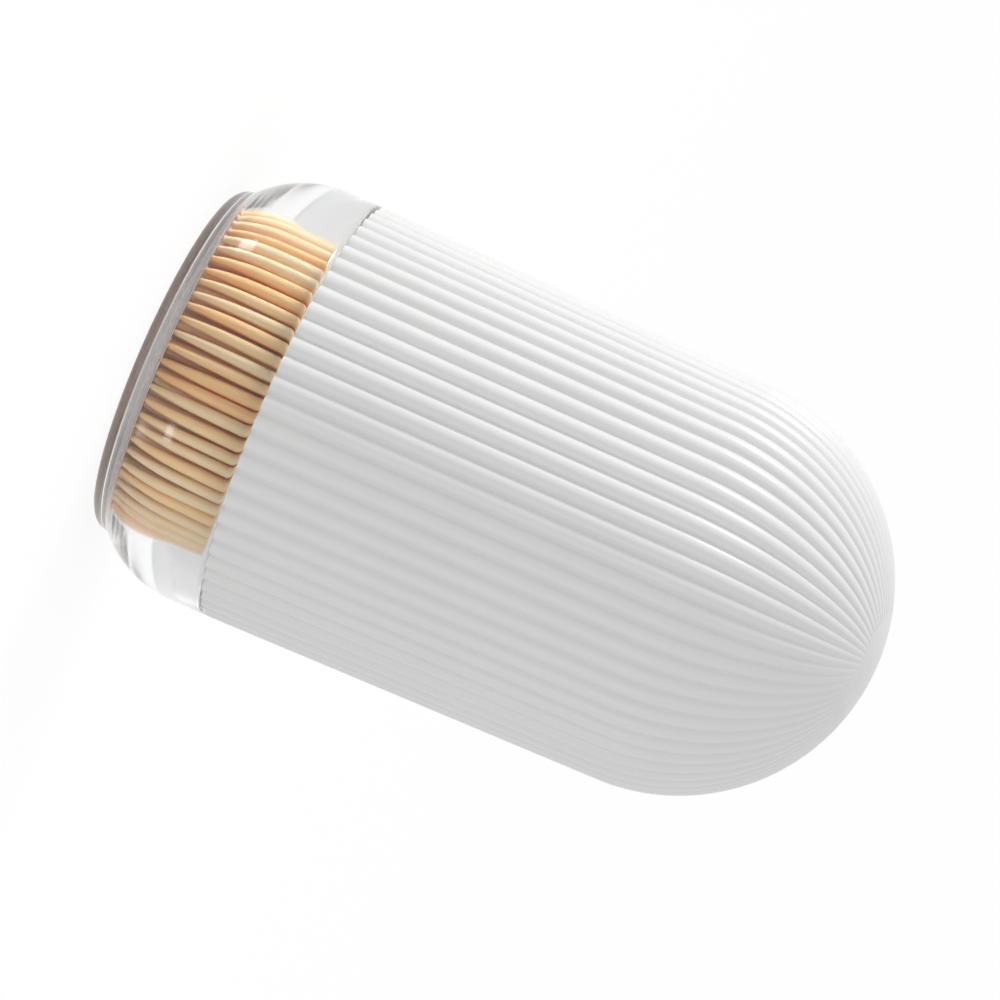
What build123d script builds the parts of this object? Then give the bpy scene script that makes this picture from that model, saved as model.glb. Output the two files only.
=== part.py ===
from build123d import *
import os
from math import acos, asin, atan, ceil, cos, degrees, floor, pi, radians, sin, sqrt, tan

# Capsule toothpick holder: a clear cup, a reeded dome cover that pulls off it, and its toothpicks.
# The cup stands on its foot at z = 0, and the axis of the capsule is Z.

# Driving dimensions, in millimetres and degrees
outer_diameter = 50.0  # across the cup, and across the rib crests at the cover's mouth
seam_height = 16.0  # table to the ledge that the cover sits on

# Toothpicks
pick_diameter = 1.5
pick_length = 65.0
pick_tip_length = 8.0
pick_tip_diameter = 0.6
pick_sides = 6
pick_wall_gap = 0.25  # outermost picks to the wall of the bore
pick_gap = 0.1  # between neighbours along the wall
inner_pick_gap = 0.6  # between neighbours further in, where they stand loosely

# Cup
cup_wall = 5.3  # exposed wall under the ledge
shoulder_radius = 12.5
straight_wall = 4.6  # from the ledge down to the shoulder
foot_height = 2.2
foot_step = 0.15  # foot ring set in from the shoulder
foot_ring_width = 3.6
foot_round = 2.0
foot_recess = 0.8  # underside raised inside the foot ring
floor_thickness = 2.6
ledge_round = 0.7
neck_height = 10.0
rim_round = 0.6
bead_rise = 6.0  # ledge to the middle of the bead that grips the cover
bead_width = 1.6
bead_clearance = 0.1

# Cover
draft_angle = 1.0
cover_wall = 1.9  # under the valleys at the mouth
fit_clearance = 0.3  # cover's bore to the neck
mouth_bevel = 0.6
rib_count = 64
rib_depth = 0.65  # crest to valley at the mouth
smooth_disc_radius = 6.5  # where the ribs run out round the pole
tip_rise = 4.9  # pick tips above the centre of the dome
dome_step = 10.0  # most degrees of latitude between two sections of the dome

# Cup radii and heights
outer_radius = outer_diameter / 2
bore_radius = outer_radius - cup_wall
floor_height = foot_recess + floor_thickness
floor_round = pick_wall_gap + (pick_diameter - pick_tip_diameter) / 2
shoulder_height = seam_height - straight_wall
shoulder_fall = shoulder_height - foot_height
shoulder_centre = outer_radius - shoulder_radius
shoulder_angle = degrees(asin(shoulder_fall / shoulder_radius))
shoulder_foot_radius = shoulder_centre + shoulder_radius * cos(radians(shoulder_angle))
foot_radius = shoulder_foot_radius - foot_step

# Cover and neck share one draft, so that the clearance between them is even
draft_slope = tan(radians(draft_angle))
mouth_bore_radius = outer_radius - rib_depth - cover_wall
neck_radius = mouth_bore_radius - fit_clearance
neck_top = seam_height + neck_height
neck_top_radius = neck_radius - neck_height * draft_slope

# Dome: inner and outer spheres share a centre and lie tangent to the drafted walls
dome_centre = floor_height + pick_length - tip_rise
dome_draft = (dome_centre - seam_height) * sin(radians(draft_angle))
dome_radius = outer_radius * cos(radians(draft_angle)) - dome_draft
inner_dome_radius = mouth_bore_radius * cos(radians(draft_angle)) - dome_draft
disc_latitude = degrees(acos(smooth_disc_radius / dome_radius))

os.makedirs("parts", exist_ok=True)


def write(piece, name):
    piece.label = name
    export_step(piece, f"parts/{name}.step")


def neck_radius_at(height):
    return neck_radius - (height - seam_height) * draft_slope


def valley_radius(crest_radius):
    # Ribs grow narrower and shallower together, as the section shrinks towards the pole
    return crest_radius * (1 - rib_depth / outer_radius)


def reeded_section(height, crest_radius):
    half_pitch = 180 / rib_count
    valley = Vector(valley_radius(crest_radius), 0)
    crest = Vector(crest_radius, 0)
    with BuildSketch(Plane.XY.offset(height)) as section:
        with BuildLine():
            for rib in range(rib_count):
                middle = 2 * half_pitch * rib
                ThreePointArc(
                    valley.rotate(Axis.Z, middle - half_pitch),
                    crest.rotate(Axis.Z, middle),
                    valley.rotate(Axis.Z, middle + half_pitch),
                )
        make_face()
    return section.sketch


def dome_section(latitude):
    return reeded_section(
        dome_centre + dome_radius * sin(radians(latitude)),
        dome_radius * cos(radians(latitude)),
    )


# Clear cup: foot ring, shoulder, thick wall, ledge, and the neck with its bead
bead_bottom = seam_height + bead_rise - bead_width / 2
bead_top = bead_bottom + bead_width
bead_crown = neck_radius_at(seam_height + bead_rise) + fit_clearance - bead_clearance
with BuildPart() as cup:
    with BuildSketch(Plane.XZ):
        with BuildLine():
            Line((0, foot_recess), (foot_radius - foot_ring_width, foot_recess))
            Line((foot_radius - foot_ring_width, foot_recess), (foot_radius - foot_ring_width, 0))
            Line((foot_radius - foot_ring_width, 0), (foot_radius - foot_round, 0))
            CenterArc((foot_radius - foot_round, foot_round), foot_round, -90, 90)
            Line((foot_radius, foot_round), (foot_radius, foot_height))
            Line((foot_radius, foot_height), (shoulder_foot_radius, foot_height))
            CenterArc((shoulder_centre, shoulder_height), shoulder_radius, -shoulder_angle, shoulder_angle)
            Line((outer_radius, shoulder_height), (outer_radius, seam_height - ledge_round))
            CenterArc((outer_radius - ledge_round, seam_height - ledge_round), ledge_round, 0, 90)
            Line((outer_radius - ledge_round, seam_height), (neck_radius, seam_height))
            Line((neck_radius, seam_height), (neck_radius_at(bead_bottom), bead_bottom))
            ThreePointArc(
                (neck_radius_at(bead_bottom), bead_bottom),
                (bead_crown, seam_height + bead_rise),
                (neck_radius_at(bead_top), bead_top),
            )
            Line((neck_radius_at(bead_top), bead_top), (neck_top_radius, neck_top))
            Line((neck_top_radius, neck_top), (bore_radius, neck_top))
            Line((bore_radius, neck_top), (bore_radius, floor_height + floor_round))
            CenterArc((bore_radius - floor_round, floor_height + floor_round), floor_round, 0, -90)
            Line((bore_radius - floor_round, floor_height), (0, floor_height))
            Line((0, floor_height), (0, foot_recess))
        make_face()
    revolve(axis=Axis.Z)
    rim_edges = cup.edges().filter_by(GeomType.CIRCLE).group_by(Axis.Z)[-1]
    fillet(rim_edges, rim_round)
write(cup.part, "cup")

# Reeded cover: drafted wall, then the dome over it, then the smooth disc at the pole
dome_bands = ceil((disc_latitude - draft_angle) / dome_step)
band_latitude = (disc_latitude - draft_angle) / dome_bands
dome_sections = [dome_section(draft_angle + band_latitude * band) for band in range(dome_bands + 1)]
with BuildPart() as cover:
    loft([reeded_section(seam_height, outer_radius), dome_sections[0]], ruled=True)
    loft(dome_sections)
    disc_edge_radius = valley_radius(smooth_disc_radius)
    disc_edge_height = dome_centre + sqrt(dome_radius**2 - smooth_disc_radius**2)
    with BuildSketch(Plane.XZ):
        with BuildLine():
            Line((0, disc_edge_height), (disc_edge_radius, disc_edge_height))
            ThreePointArc(
                (disc_edge_radius, disc_edge_height),
                (dome_radius * sin(asin(smooth_disc_radius / dome_radius) / 2),
                 dome_centre + dome_radius * cos(asin(smooth_disc_radius / dome_radius) / 2)),
                (0, dome_centre + dome_radius),
            )
            Line((0, dome_centre + dome_radius), (0, disc_edge_height))
        make_face()
    revolve(axis=Axis.Z)
    with BuildSketch(Plane.XZ):
        with BuildLine():
            bevel_radius = mouth_bore_radius + mouth_bevel
            Line((0, seam_height), (bevel_radius, seam_height))
            Line((bevel_radius, seam_height), (mouth_bore_radius, seam_height + mouth_bevel))
            dome_foot = (
                inner_dome_radius * cos(radians(draft_angle)),
                dome_centre + inner_dome_radius * sin(radians(draft_angle)),
            )
            Line((mouth_bore_radius, seam_height + mouth_bevel), dome_foot)
            CenterArc((0, dome_centre), inner_dome_radius, draft_angle, 90 - draft_angle)
            Line((0, dome_centre + inner_dome_radius), (0, seam_height))
        make_face()
    revolve(axis=Axis.Z, mode=Mode.SUBTRACT)
write(cover.part, "cover")

# Toothpicks: one double-pointed pick, then rings of it from the wall of the bore inwards
tip_inset = (pick_diameter - pick_tip_diameter) / 2 * cos(pi / pick_sides)
tip_taper = degrees(atan(tip_inset / pick_tip_length))
pick_middle = Plane.XY.offset(floor_height + pick_length / 2)
with BuildPart() as pick:
    with BuildSketch(pick_middle):
        RegularPolygon(pick_diameter / 2, pick_sides)
    extrude(amount=pick_length / 2 - pick_tip_length)
    extrude(pick.faces().sort_by(Axis.Z)[-1], amount=pick_tip_length, taper=tip_taper)
    mirror(about=pick_middle)

ring_radius = bore_radius - pick_wall_gap - pick_diameter / 2
pick_pitch = pick_diameter + pick_gap
inner_pitch = pick_diameter + inner_pick_gap
ring_number = 1
while ring_radius > inner_pitch:
    picks_in_ring = floor(pi / asin(pick_pitch / (2 * ring_radius)))
    with BuildPart() as ring:
        with PolarLocations(ring_radius, picks_in_ring):
            add(pick.part)
    write(ring.part, f"toothpicks_ring_{ring_number}")
    ring_radius -= inner_pitch
    pick_pitch = inner_pitch
    ring_number += 1
write(pick.part, "toothpick_centre")
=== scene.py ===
import math
import random

import bpy
from mathutils import Matrix, Vector


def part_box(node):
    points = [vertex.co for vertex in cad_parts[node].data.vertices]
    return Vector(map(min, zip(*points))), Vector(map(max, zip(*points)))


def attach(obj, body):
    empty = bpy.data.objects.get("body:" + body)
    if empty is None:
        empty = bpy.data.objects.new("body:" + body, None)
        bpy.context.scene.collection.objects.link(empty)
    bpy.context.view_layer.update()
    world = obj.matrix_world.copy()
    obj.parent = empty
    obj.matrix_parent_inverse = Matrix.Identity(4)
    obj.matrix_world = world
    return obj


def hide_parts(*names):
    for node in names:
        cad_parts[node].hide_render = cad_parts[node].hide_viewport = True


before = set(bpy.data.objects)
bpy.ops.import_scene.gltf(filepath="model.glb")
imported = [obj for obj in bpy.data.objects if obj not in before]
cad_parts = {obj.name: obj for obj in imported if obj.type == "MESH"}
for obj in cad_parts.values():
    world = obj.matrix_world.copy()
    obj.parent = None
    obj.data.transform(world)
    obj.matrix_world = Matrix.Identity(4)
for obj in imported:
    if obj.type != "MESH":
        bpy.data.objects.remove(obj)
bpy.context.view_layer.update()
bpy.context.scene.view_settings.view_transform = "Standard"
print("frame loaded with", len(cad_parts), "nodes")

# sizes read off the frame, in metres
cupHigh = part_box("cup")[1]
coverLow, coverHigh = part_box("cover")
pickLow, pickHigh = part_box("toothpick_centre")
outerRadius = cupHigh.x
neckTop = cupHigh.z
seamHeight = coverLow.z
domeTop = coverHigh.z
floorHeight = pickLow.z
pickTop = pickHigh.z
pickRadius = pickHigh.x


# materials: sockets with operators, and one method that adds any node

class Sock:
    def __init__(self, finish, socket):
        self.finish = finish
        self.socket = socket

    def maths(self, operation, first, second):
        return self.finish.node("ShaderNodeMath", {"operation": operation}, {0: first, 1: second})

    def __add__(self, other):
        return self.maths("ADD", self, other)

    def __sub__(self, other):
        return self.maths("SUBTRACT", self, other)

    def __rsub__(self, other):
        return self.maths("SUBTRACT", other, self)

    def __mul__(self, other):
        return self.maths("MULTIPLY", self, other)

    __radd__ = __add__
    __rmul__ = __mul__


class Finish:
    def __init__(self, name, owner=None):
        self.owner = owner or bpy.data.materials.new(name)
        self.owner.use_nodes = True
        self.tree = self.owner.node_tree
        self.tree.nodes.clear()

    def node(self, kind, settings=None, inputs=None, out=0):
        made = self.tree.nodes.new(kind)
        for key, value in (settings or {}).items():
            if key == "stops":
                self.setStops(made.color_ramp, value)
            else:
                setattr(made, key, value)
        for key, value in (inputs or {}).items():
            if isinstance(value, Sock):
                self.tree.links.new(value.socket, made.inputs[key])
            else:
                made.inputs[key].default_value = value
        return Sock(self, made.outputs[out]) if made.outputs else None

    def setStops(self, ramp, stops):
        while len(ramp.elements) < len(stops):
            ramp.elements.new(0.5)
        for element, (place, colour) in zip(ramp.elements, stops):
            element.position = place
            element.color = (*colour, 1)

    def place(self, scale=(1, 1, 1)):
        # object coordinates, stretched by scale per axis
        coords = self.node("ShaderNodeTexCoord", out="Object")
        return self.node("ShaderNodeMapping", None, {"Vector": coords, "Scale": scale})

    def noise(self, vector, scale, detail=2.0, rough=0.5):
        return self.node(
            "ShaderNodeTexNoise", None,
            {"Vector": vector, "Scale": scale, "Detail": detail, "Roughness": rough},
        )

    def mixColours(self, factor, first, second):
        inputs = {0: factor, 6: first, 7: second}
        return self.node("ShaderNodeMix", {"data_type": "RGBA"}, inputs, out=2)

    def bump(self, height, strength, distance):
        return self.node(
            "ShaderNodeBump", None,
            {"Height": height, "Strength": strength, "Distance": distance},
        )

    def principled(self, inputs):
        return self.node("ShaderNodeBsdfPrincipled", None, inputs)

    def output(self, shader, kind="ShaderNodeOutputMaterial"):
        self.node(kind, None, {"Surface": shader})
        return self.owner


def whitePlastic():
    f = Finish("whitePlastic")
    cloud = f.noise(f.place(), scale=90.0, detail=3.0)
    grain = f.noise(f.place(), scale=5200.0)
    colour = f.mixColours(cloud, (0.79, 0.79, 0.787, 1), (0.82, 0.82, 0.817, 1))
    shader = f.principled({
        "Base Color": colour,
        "Roughness": 0.33 + 0.1 * cloud,
        "Normal": f.bump(grain, strength=0.06, distance=0.00003),
        "IOR": 1.49,
    })
    return f.output(shader)


def clearPlastic(c):
    f = Finish("clearPlastic")
    cloud = f.noise(f.place(), scale=160.0)
    wave = f.noise(f.place((1, 1, 0.4)), scale=110.0, detail=1.0)
    height = f.node("ShaderNodeSeparateXYZ", None, {0: f.place()}, out="Z")
    satinAndPaintedShade = f.node("ShaderNodeMapRange", None, {
        "Value": height,
        "From Min": c["satinHeight"],
        "From Max": c["polishHeight"],
        "To Min": 1.0,
        "To Max": 0.0,
    })
    # painted shade and painted reflection: the edge of the foot is painted dark brown low down and
    # bluish grey above that, for the picks and shade seen through the foot
    footPaintedShade = f.node("ShaderNodeValToRGB", {"stops": [
        (0.38, (0.24, 0.15, 0.12)),
        (0.47, (0.84, 0.84, 0.87)),
        (0.80, (0.90, 0.91, 0.94)),
    ]}, {"Fac": 1.0 / c["paintedShadeHeight"] * height})
    clear = f.mixColours(cloud, (0.96, 0.97, 0.975, 1), (0.98, 0.985, 0.985, 1))
    shader = f.principled({
        # the satin band also carries the painted shade of the foot into the colour
        "Base Color": f.mixColours(satinAndPaintedShade, clear, footPaintedShade),
        "Roughness": 0.05 + 0.03 * cloud + 0.2 * satinAndPaintedShade,  # only the edge of the foot is satin
        "Normal": f.bump(wave, strength=0.03, distance=0.0002),
        "IOR": 1.5,
        "Specular Tint": (0.65, 0.65, 0.65, 1),
        "Transmission Weight": 1.0,
    })
    return f.output(shader)


def pickWood():
    f = Finish("pickWood")
    tone = f.node("ShaderNodeAttribute", {"attribute_name": "tone"}, out="Fac")
    streak = f.noise(f.place((1, 1, 0.035)), scale=5200.0, detail=3.0, rough=0.6)
    blotch = f.noise(f.place((1, 1, 0.3)), scale=420.0)
    # painted light: the attribute paints each pick's outward side paler and its inner side darker,
    # on top of a random tone per pick; the streaks and blotches are the wood's own
    shade = 0.6 * tone + 0.25 * streak + 0.15 * blotch
    colour = f.node("ShaderNodeValToRGB", {"stops": [
        (0.20, (0.92, 0.29, 0.05)),
        (0.40, (0.92, 0.43, 0.13)),
        (0.58, (0.885, 0.59, 0.28)),
        (0.78, (0.86, 0.68, 0.43)),
    ]}, {"Fac": shade})
    shader = f.principled({
        "Base Color": colour,
        "Roughness": 0.42 + 0.25 * streak,
        "Normal": f.bump(streak, strength=0.25, distance=0.00004),
        "IOR": 1.45,
        "Specular IOR Level": 0.45,
    })
    return f.output(shader)


# modelling by hand: draw a path, spin it, extrude rings
weldDistance = 2e-6


def startPiece(name):
    bpy.ops.object.select_all(action="DESELECT")
    bpy.ops.mesh.primitive_plane_add(size=0.001)
    piece = bpy.context.object
    piece.name = name
    piece.data.name = name
    bpy.ops.object.mode_set(mode="EDIT")
    bpy.ops.mesh.merge(type="CENTER")  # the plane becomes one point to draw from
    return piece


def drawPath(points):
    bpy.ops.transform.translate(value=points[0])
    for start, end in zip(points, points[1:]):
        step = [b - a for a, b in zip(start, end)]
        bpy.ops.mesh.extrude_vertices_move(TRANSFORM_OT_translate={"value": step})


def arc(centre, radius, startAngle, endAngle, steps):
    points = []
    for i in range(steps + 1):
        turn = math.radians(startAngle + (endAngle - startAngle) * i / steps)
        points.append((centre[0] + radius * math.cos(turn), centre[1] + radius * math.sin(turn)))
    return points


def closeMesh(sharpAngle):
    bpy.ops.mesh.select_all(action="SELECT")
    bpy.ops.mesh.remove_doubles(threshold=weldDistance)
    bpy.ops.mesh.select_all(action="SELECT")
    bpy.ops.mesh.normals_make_consistent(inside=False)
    bpy.ops.object.mode_set(mode="OBJECT")
    bpy.ops.object.shade_smooth_by_angle(angle=math.radians(sharpAngle))


def selectPoints(piece, test):
    # edit mode selection by place
    bpy.ops.mesh.select_mode(type="VERT")
    bpy.ops.mesh.select_all(action="DESELECT")
    bpy.ops.object.mode_set(mode="OBJECT")
    for point in piece.data.vertices:
        point.select = test(point.co)
    bpy.ops.object.mode_set(mode="EDIT")


def dress(piece, finish, body, slot, *nodes):
    piece.data.materials.clear()
    piece.data.materials.append(finish)
    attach(piece, body)
    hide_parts(*nodes)
    print(piece.name, "done,", len(piece.data.polygons), "faces")


# clear cup: one outline from under the foot to the floor of the bore, spun round the axis
cup = {
    "wall": 0.0053,
    "shoulderRadius": 0.0125,
    "straightWall": 0.0046,
    "footHeight": 0.0022,
    "footStep": 0.00015,
    "footRingWidth": 0.0036,
    "footRound": 0.0020,
    "footRecess": 0.0008,
    "recessRound": 0.0004,
    "ringRound": 0.0003,
    "stepRound": 0.0001,
    "ledgeRound": 0.0007,
    "rimRound": 0.0006,
    "neckRadius": 0.02215,
    "draft": 1.0,
    "beadRise": 0.006,
    "beadWidth": 0.0016,
    "beadHeight": 0.0002,
    "floorRound": 0.0007,
    "turnSteps": 256,
    "shoulderSteps": 40,
    "footSteps": 12,
    "roundSteps": 8,
    "smallSteps": 4,
    "stepSteps": 3,
    "sharpAngle": 35,
    "satinHeight": 0.0013,  # satin up to here, with painted shade in the colour below this
    "polishHeight": 0.0015,  # polished from here up, with no painted shade
    "paintedShadeHeight": 0.003,  # the stops of the painted shade on the foot are shares of this
}


def cupOutline(c):
    shoulderHeight = seamHeight - c["straightWall"]
    shoulderCentre = outerRadius - c["shoulderRadius"]
    fall = math.degrees(math.asin((shoulderHeight - c["footHeight"]) / c["shoulderRadius"]))
    shoulder = arc(
        (shoulderCentre, shoulderHeight), c["shoulderRadius"], -fall, 0, c["shoulderSteps"]
    )
    footRadius = shoulder[0][0] - c["footStep"]
    footInner = footRadius - c["footRingWidth"]
    slope = math.tan(math.radians(c["draft"]))
    bore = outerRadius - c["wall"]
    rim, floorRound, ledge = c["rimRound"], c["floorRound"], c["ledgeRound"]
    recess, ring, step = c["recessRound"], c["ringRound"], c["stepRound"]
    small, steps = c["smallSteps"], c["roundSteps"]
    neckTopRadius = c["neckRadius"] - (neckTop - seamHeight) * slope
    outline = [(0, c["footRecess"]), (footInner * 0.5, c["footRecess"])]
    outline += arc((footInner - recess, c["footRecess"] - recess), recess, 90, 0, small)
    outline += arc((footInner + ring, ring), ring, 180, 270, small)
    outline += arc(
        (footRadius - c["footRound"], c["footRound"]), c["footRound"], -90, 0, c["footSteps"]
    )
    outline += arc((footRadius + step, c["footHeight"] - step), step, 180, 90, c["stepSteps"])
    outline += shoulder
    outline += arc((outerRadius - ledge, seamHeight - ledge), ledge, 0, 90, steps)
    outline.append((c["neckRadius"], seamHeight))
    for i in range(steps + 1):
        along = i / steps
        z = seamHeight + c["beadRise"] + (along - 0.5) * c["beadWidth"]
        swell = c["beadHeight"] * math.sin(math.pi * along)
        outline.append((c["neckRadius"] - (z - seamHeight) * slope + swell, z))
    outline += arc((neckTopRadius - rim, neckTop - rim), rim, 0, 90, steps)
    outline += arc((bore + rim, neckTop - rim), rim, 90, 180, steps)
    outline += arc((bore - floorRound, floorHeight + floorRound), floorRound, 0, -90, steps)
    outline += [(bore * 0.5, floorHeight), (0, floorHeight)]
    return outline


def makeCup(c):
    piece = startPiece("clear_cup")
    drawPath([(x, 0, z) for x, z in cupOutline(c)])
    bpy.ops.mesh.select_all(action="SELECT")
    bpy.ops.mesh.spin(steps=c["turnSteps"], angle=2 * math.pi, center=(0, 0, 0), axis=(0, 0, 1))
    closeMesh(c["sharpAngle"])
    piece.visible_shadow = False  # lamps shine through the clear wall onto the wood
    dress(piece, clearPlastic(c), "cup", "clear_plastic", "cup")


# reeded cover: one rib drawn across, copied round, then the ring extruded up and drawn in
cover = {
    "ribs": 64,
    "ribDepth": 0.00065,
    "valleyRound": 0.00018,
    "ribSteps": 8,
    "valleySteps": 2,
    "mouthBore": 0.02245,
    "draft": 1.0,
    "discRadius": 0.0065,
    "mouthBevel": 0.0006,
    "wallRows": 6,
    "domeRows": 44,
    "discRows": 8,
    "innerRows": 28,
    "sharpAngle": 35,
}


def ribPath(c):
    # a crest arc that runs into half a valley arc on each side
    half = math.pi / c["ribs"]
    valley = c["valleyRound"]
    away = outerRadius - c["ribDepth"] + valley
    sideX, sideY = away * math.cos(half), away * math.sin(half)
    both = outerRadius + valley
    centre = (both ** 2 - away ** 2) / (2 * (both - sideX))
    reach = math.degrees(math.atan2(sideY, sideX - centre))
    low = math.degrees(half)
    path = arc((sideX, -sideY), valley, 180 - low, 180 - reach, c["valleySteps"])
    path += arc((centre, 0), outerRadius - centre, -reach, reach, c["ribSteps"])[1:-1]
    path += arc((sideX, sideY), valley, 180 + reach, 180 + low, c["valleySteps"])
    return path


def growRing(rows, lastHeight, lastRadius):
    # each row is an extrude straight up and a scale towards the axis
    for height, radius in rows:
        bpy.ops.mesh.extrude_region_move(
            TRANSFORM_OT_translate={"value": (0, 0, height - lastHeight)}
        )
        k = radius / lastRadius
        bpy.ops.transform.resize(value=(k, k, 1), center_override=(0, 0, height))
        lastHeight, lastRadius = height, radius


def roundRing(piece, height, radius):
    # the selected ring of points is put on a true circle
    bpy.ops.object.mode_set(mode="OBJECT")
    for point in piece.data.vertices:
        if point.select:
            k = radius / point.co.xy.length
            point.co = (point.co.x * k, point.co.y * k, height)
    bpy.ops.object.mode_set(mode="EDIT")


def domeRows(centre, radius, fromAngle, toAngle, count):
    rows = []
    for i in range(1, count + 1):
        turn = math.radians(fromAngle + (toAngle - fromAngle) * i / count)
        rows.append((centre + radius * math.sin(turn), radius * math.cos(turn)))
    return rows


def makeCover(c):
    draft = math.radians(c["draft"])
    lean = math.sin(draft)
    domeCentre = (domeTop - outerRadius * math.cos(draft) - seamHeight * lean) / (1 - lean)
    domeRadius = domeTop - domeCentre
    discAngle = math.degrees(math.acos(c["discRadius"] / domeRadius))
    mouthBore = c["mouthBore"]
    innerRadius = mouthBore * math.cos(draft) - (domeCentre - seamHeight) * lean

    piece = startPiece("reeded_cover")
    drawPath([(x, y, seamHeight) for x, y in ribPath(c)])
    bpy.ops.mesh.select_all(action="SELECT")
    bpy.ops.mesh.spin(
        steps=c["ribs"], dupli=True, angle=2 * math.pi, center=(0, 0, seamHeight), axis=(0, 0, 1)
    )
    bpy.ops.mesh.select_all(action="SELECT")
    bpy.ops.mesh.remove_doubles(threshold=weldDistance)

    # outside: wall, dome, then the smooth disc at the pole
    bpy.ops.mesh.select_all(action="SELECT")
    wallTop = domeCentre + domeRadius * math.sin(draft)
    wallTopRadius = domeRadius * math.cos(draft)
    wall = []
    for i in range(1, c["wallRows"] + 1):
        along = i / c["wallRows"]
        wall.append((
            seamHeight + (wallTop - seamHeight) * along,
            outerRadius + (wallTopRadius - outerRadius) * along,
        ))
    growRing(wall, seamHeight, outerRadius)
    dome = domeRows(domeCentre, domeRadius, c["draft"], discAngle, c["domeRows"])
    growRing(dome, wallTop, wallTopRadius)
    discEdge = c["discRadius"] * (1 - c["ribDepth"] / outerRadius)
    bpy.ops.mesh.extrude_region_move()
    roundRing(piece, dome[-1][0], discEdge)
    edgeAngle = math.degrees(math.acos(discEdge / domeRadius))
    cap = domeRows(domeCentre, domeRadius, edgeAngle, 90, c["discRows"])
    growRing(cap[:-1], dome[-1][0], discEdge)
    bpy.ops.mesh.merge(type="CENTER")
    print("cover outside drawn")

    # inside: bevelled mouth, smooth bore, inner dome
    selectPoints(piece, lambda co: abs(co.z - seamHeight) < weldDistance)
    bpy.ops.mesh.extrude_region_move()
    roundRing(piece, seamHeight, mouthBore + c["mouthBevel"])
    boreTop = domeCentre + innerRadius * math.sin(draft)
    growRing(
        [(seamHeight + c["mouthBevel"], mouthBore), (boreTop, innerRadius * math.cos(draft))],
        seamHeight, mouthBore + c["mouthBevel"],
    )
    inner = domeRows(domeCentre, innerRadius, c["draft"], 90, c["innerRows"])
    growRing(inner[:-1], boreTop, innerRadius * math.cos(draft))
    bpy.ops.mesh.merge(type="CENTER")
    closeMesh(c["sharpAngle"])
    dress(piece, whitePlastic(), "cover", "white_plastic", "cover")


# toothpicks: one pick, then copies of it that lean and differ a little, ring by ring
picks = {
    "sides": 8,
    "tipLength": 0.008,
    # rows of a tip, each a share of its length and a share of the radius
    "topRows": [(0.35, 0.80), (0.80, 0.45), (0.96, 0.25), (1, 0.13)],
    "footRows": [(0.40, 0.89), (0.78, 0.64), (0.94, 0.46), (1, 0.38)],  # blunter, where they stand
    "sharpAngle": 50,
    "gap": 0.0001,
    "innerGap": 0.0006,
    "crowd": 0.0004,  # second ring pressed out against the first
    "lean": 2.2,  # most degrees
    "outwardShare": (-0.5, 0.42),  # share of the lean, towards the axis and away from it
    "leanHeight": 0.012,  # each pick leans about this height
    "slack": 0.00010,
    "thinnest": 0.82,  # share of the full thickness
    "leanTries": 150,
    "clearHeights": (0.012, 0.020, 0.030, 0.040, 0.050, 0.060),  # where neighbours keep apart
    "reach": 0.006,  # picks further off than this are no neighbours
    "paintedOutwardLight": 0.6,  # how much paler the outward side is painted: painted light, with the inner side painted darker
    "seed": 65,
}


def makePick(p):
    length = pickTop - floorHeight
    bpy.ops.object.select_all(action="DESELECT")
    bpy.ops.mesh.primitive_cylinder_add(
        vertices=p["sides"], radius=pickRadius, depth=length - 2 * p["tipLength"]
    )
    piece = bpy.context.object
    bpy.ops.object.mode_set(mode="EDIT")
    bpy.ops.mesh.select_mode(type="FACE")
    for way, rows in ((1, p["topRows"]), (-1, p["footRows"])):
        bpy.ops.mesh.select_all(action="DESELECT")
        bpy.ops.object.mode_set(mode="OBJECT")
        for face in piece.data.polygons:
            face.select = face.normal.z * way > 0.9
        bpy.ops.object.mode_set(mode="EDIT")
        height = way * (length / 2 - p["tipLength"])
        lastShare, lastWidth = 0, 1
        for share, width in rows:
            rise = way * p["tipLength"] * (share - lastShare)
            height += rise
            bpy.ops.mesh.extrude_region_move(TRANSFORM_OT_translate={"value": (0, 0, rise)})
            k = width / lastWidth
            bpy.ops.transform.resize(value=(k, k, 1), center_override=(0, 0, height))
            lastShare, lastWidth = share, width
    closeMesh(p["sharpAngle"])
    return piece


def ringPlaces(p, node, gap):
    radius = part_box(node)[1].x - pickRadius
    if radius < pickRadius:
        return [(0, 0)]
    count = math.floor(math.pi / math.asin((2 * pickRadius + gap) / (2 * radius)))
    if node.endswith("ring_2"):
        radius += p["crowd"]
    return [(radius, 2 * math.pi * i / count) for i in range(count)]


def leanPick(p, radius, turn, rng):
    # outwards is local x, so the picks keep off the wall of the bore
    outLean = math.radians(p["lean"]) * rng.uniform(*p["outwardShare"])
    sideLean = math.radians(p["lean"]) * rng.uniform(-1, 1)
    slide = (rng.uniform(-p["slack"], 0.0), rng.uniform(-p["slack"], p["slack"]), 0)
    spot = Matrix.Rotation(turn, 4, "Z") @ Matrix.Translation((radius, 0, 0))
    pivot = Matrix.Translation((0, 0, p["leanHeight"]))
    tilt = Matrix.Rotation(outLean, 4, "Y") @ Matrix.Rotation(sideLean, 4, "X")
    return spot @ Matrix.Translation(slide) @ pivot @ tilt @ pivot.inverted()


def standPick(p, radius, turn, girth, stood, rng):
    # lean after lean is tried until the pick clears those that stand already
    best = None
    for _ in range(p["leanTries"]):
        stem = leanPick(p, radius, turn, rng)
        line = [(stem @ Vector((0, 0, height))).xy for height in p["clearHeights"]]
        room = p["reach"]
        for otherLine, otherGirth in stood:
            if (line[0] - otherLine[0]).length < p["reach"]:
                apart = min((a - b).length for a, b in zip(line, otherLine))
                room = min(room, apart - (girth + otherGirth) * pickRadius)
        if best is None or room > best[0]:
            best = (room, stem, line)
        if room > 0:
            break
    stood.append((best[2], girth))
    return best[1]


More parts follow.
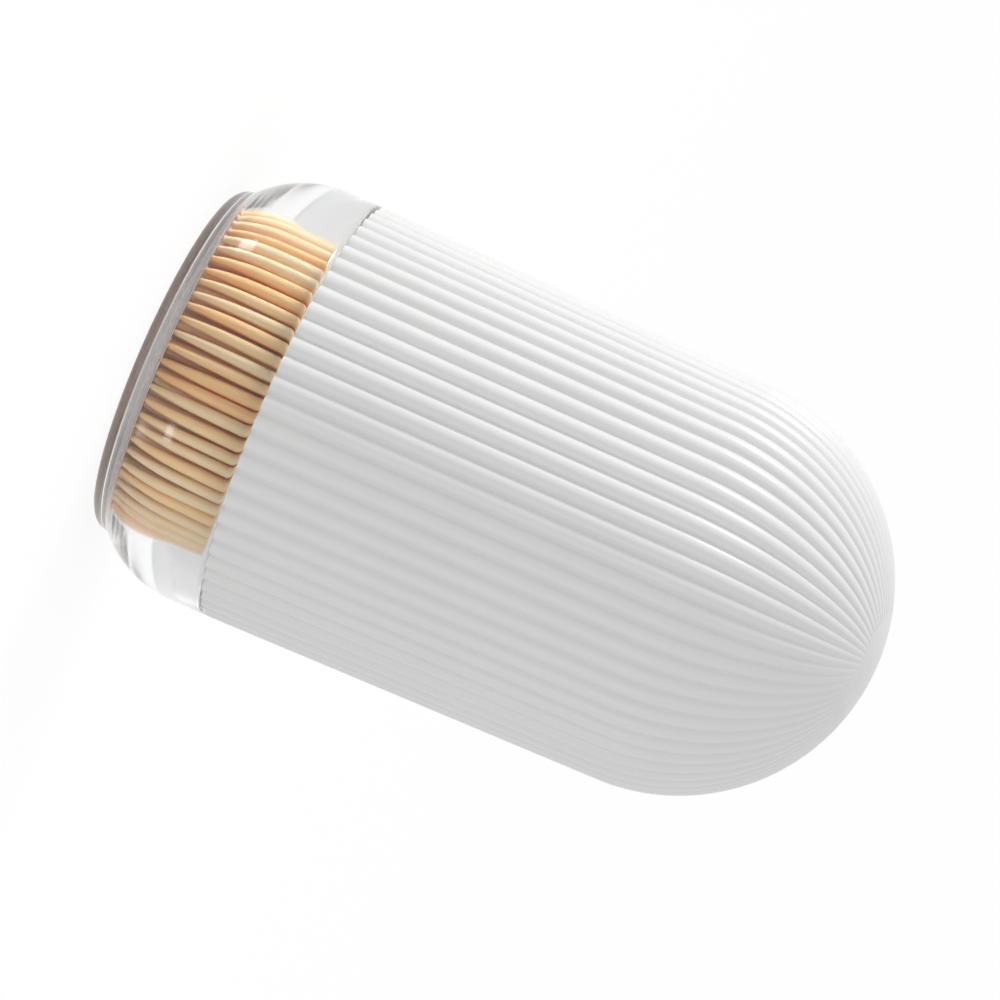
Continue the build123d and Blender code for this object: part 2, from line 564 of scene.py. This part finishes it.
def makeRing(p, pattern, node, gap, finish, stood, rng):
    copies = []
    middle = (pickTop + floorHeight) / 2
    for radius, turn in ringPlaces(p, node, gap):
        bpy.ops.object.select_all(action="DESELECT")
        pattern.select_set(True)
        bpy.context.view_layer.objects.active = pattern
        bpy.ops.object.duplicate()
        copy = bpy.context.object
        girth = rng.uniform(p["thinnest"], 1.0)
        stem = standPick(p, radius, turn, girth, stood, rng)
        lift = Matrix.Translation((0, 0, middle))
        roll = Matrix.Rotation(rng.uniform(0, 2 * math.pi), 4, "Z")
        thin = Matrix.Diagonal((girth, girth, 1, 1))
        copy.data.transform(stem @ lift @ roll @ thin)
        tone = copy.data.attributes.new("tone", "FLOAT", "POINT")
        shade = rng.random()
        # painted light: the side of each pick that faces out of the ring is painted paler and its
        # inner side darker, mixed with the pick's random tone
        outward = Vector((math.cos(turn), math.sin(turn)))
        for item, point in zip(tone.data, copy.data.vertices):
            core = stem @ Vector((0, 0, point.co.z))
            facing = (point.co.xy - core.xy).dot(outward) / pickRadius
            item.value = shade + p["paintedOutwardLight"] * (0.5 * facing + 0.5 - shade)
        copies.append(copy)
    bpy.ops.object.select_all(action="DESELECT")
    for copy in copies:
        copy.select_set(True)
    bpy.context.view_layer.objects.active = copies[0]
    if len(copies) > 1:
        bpy.ops.object.join()
    ring = bpy.context.view_layer.objects.active
    ring.name = node.replace("toothpick", "wood_pick")
    dress(ring, finish, "cup", "pick_wood", node)


def makePicks(p):
    rng = random.Random(p["seed"])
    finish = pickWood()
    pattern = makePick(p)
    stood = []
    nodes = sorted(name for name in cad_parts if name.startswith("toothpick"))
    for node in nodes:
        gap = p["gap"] if node.endswith("ring_1") else p["innerGap"]
        makeRing(p, pattern, node, gap, finish, stood, rng)
    bpy.data.objects.remove(pattern)


makeCup(cup)
makeCover(cover)
makePicks(picks)


# camera: a long lens, a little above the table, rolled as the photograph is
view = {
    "distance": 2.222,
    "lens": 712.7,
    "tilt": 8.28,
    "roll": 23.67,
    "turn": 1.05,
    "aimHeight": 0.0444,
    "aimRight": 0.00281,
    "aimDown": 0.00141,
    "sensor": 36,
    "nearest": 0.05,
    "furthest": 20,
}


def makeCamera(v):
    tilt, roll, turn = (math.radians(v[key]) for key in ("tilt", "roll", "turn"))
    towards = Vector((-math.sin(turn), -math.cos(turn), 0))
    up = Vector((0, 0, 1))
    back = towards * math.cos(tilt) + up * math.sin(tilt)
    axis = (up - math.sin(tilt) * back) / math.cos(tilt)
    side = back.cross(axis)
    right = math.cos(roll) * axis + math.sin(roll) * side
    above = math.cos(roll) * side - math.sin(roll) * axis
    aim = up * v["aimHeight"] - right * v["aimRight"] + above * v["aimDown"]
    bpy.ops.object.camera_add()
    camera = bpy.context.object
    turnMatrix = Matrix((right, above, back)).transposed().to_4x4()
    camera.matrix_world = Matrix.Translation(aim + back * v["distance"]) @ turnMatrix
    camera.data.lens = v["lens"]
    camera.data.sensor_width = v["sensor"]
    camera.data.clip_start = v["nearest"]
    camera.data.clip_end = v["furthest"]
    bpy.context.scene.camera = camera


# studio: white floor that keeps a soft shadow, pale room, one broad lamp and a weak one
studio = {
    "floorSize": 14.0,
    "floorColour": (0.92, 0.92, 0.92, 1),
    "floorGlow": 0.88,
    "glowStrength": 1.04,
    "throughClear": 0.1,  # share of that glow that the clear cup shows
    "roomLight": 0.68,
    "keyPlace": (-0.60, -0.01, 0.16),
    "keySize": (0.11, 0.13),
    "keyPower": 0.41,
    "fillPlace": (0.46, -0.52, 0.05),
    "fillSize": (0.14, 0.05),
    "fillPower": 0.067,
    "lampAim": (0, 0, 0.045),
    "lampSpread": 90,  # keeps hard lines off the floor under the lamps
    "clearBounces": 24,
    "woodBounces": 12,  # light that finds its way between the picks
}


def seenWhite(f, throughClear):
    straight = f.node("ShaderNodeLightPath", out="Is Camera Ray")
    mirrored = f.node("ShaderNodeLightPath", out="Is Glossy Ray")
    refracted = f.node("ShaderNodeLightPath", out="Is Transmission Ray")
    # a refracted ray counts as a glossy one too
    return straight + mirrored * (1 - refracted) + throughClear * refracted


def makeStudio(s):
    bpy.ops.object.select_all(action="DESELECT")
    bpy.ops.mesh.primitive_plane_add(size=s["floorSize"])
    floor = bpy.context.object
    floor.name = "studio_floor"
    f = Finish("paleFloor")
    paint = f.node("ShaderNodeBsdfDiffuse", None, {"Color": s["floorColour"]})
    glow = f.node("ShaderNodeEmission", None, {"Strength": s["glowStrength"]})
    share = s["floorGlow"] * seenWhite(f, s["throughClear"])
    floor.data.materials.append(
        f.output(f.node("ShaderNodeMixShader", None, {0: share, 1: paint, 2: glow}))
    )

    world = bpy.data.worlds.new("paleRoom")
    bpy.context.scene.world = world
    bounces = bpy.context.scene.cycles
    bounces.max_bounces = bounces.glossy_bounces = bounces.transmission_bounces = s["clearBounces"]
    bounces.diffuse_bounces = s["woodBounces"]
    w = Finish("paleRoom", world)
    strength = s["roomLight"] + (1 - s["roomLight"]) * seenWhite(w, 1.0)
    sky = w.node("ShaderNodeBackground", None, {"Color": (1, 1, 1, 1), "Strength": strength})
    w.output(sky, "ShaderNodeOutputWorld")

    for lamp in ("key", "fill"):
        place = Vector(s[lamp + "Place"])
        bpy.ops.object.light_add(type="AREA", location=place)
        light = bpy.context.object
        light.name = lamp + "_lamp"
        light.data.shape = "RECTANGLE"
        light.data.size, light.data.size_y = s[lamp + "Size"]
        light.data.energy = s[lamp + "Power"]
        light.data.spread = math.radians(s["lampSpread"])
        aim = Vector(s["lampAim"]) - place
        light.rotation_euler = aim.to_track_quat("-Z", "Y").to_euler()
    print("studio set")


makeCamera(view)
makeStudio(studio)
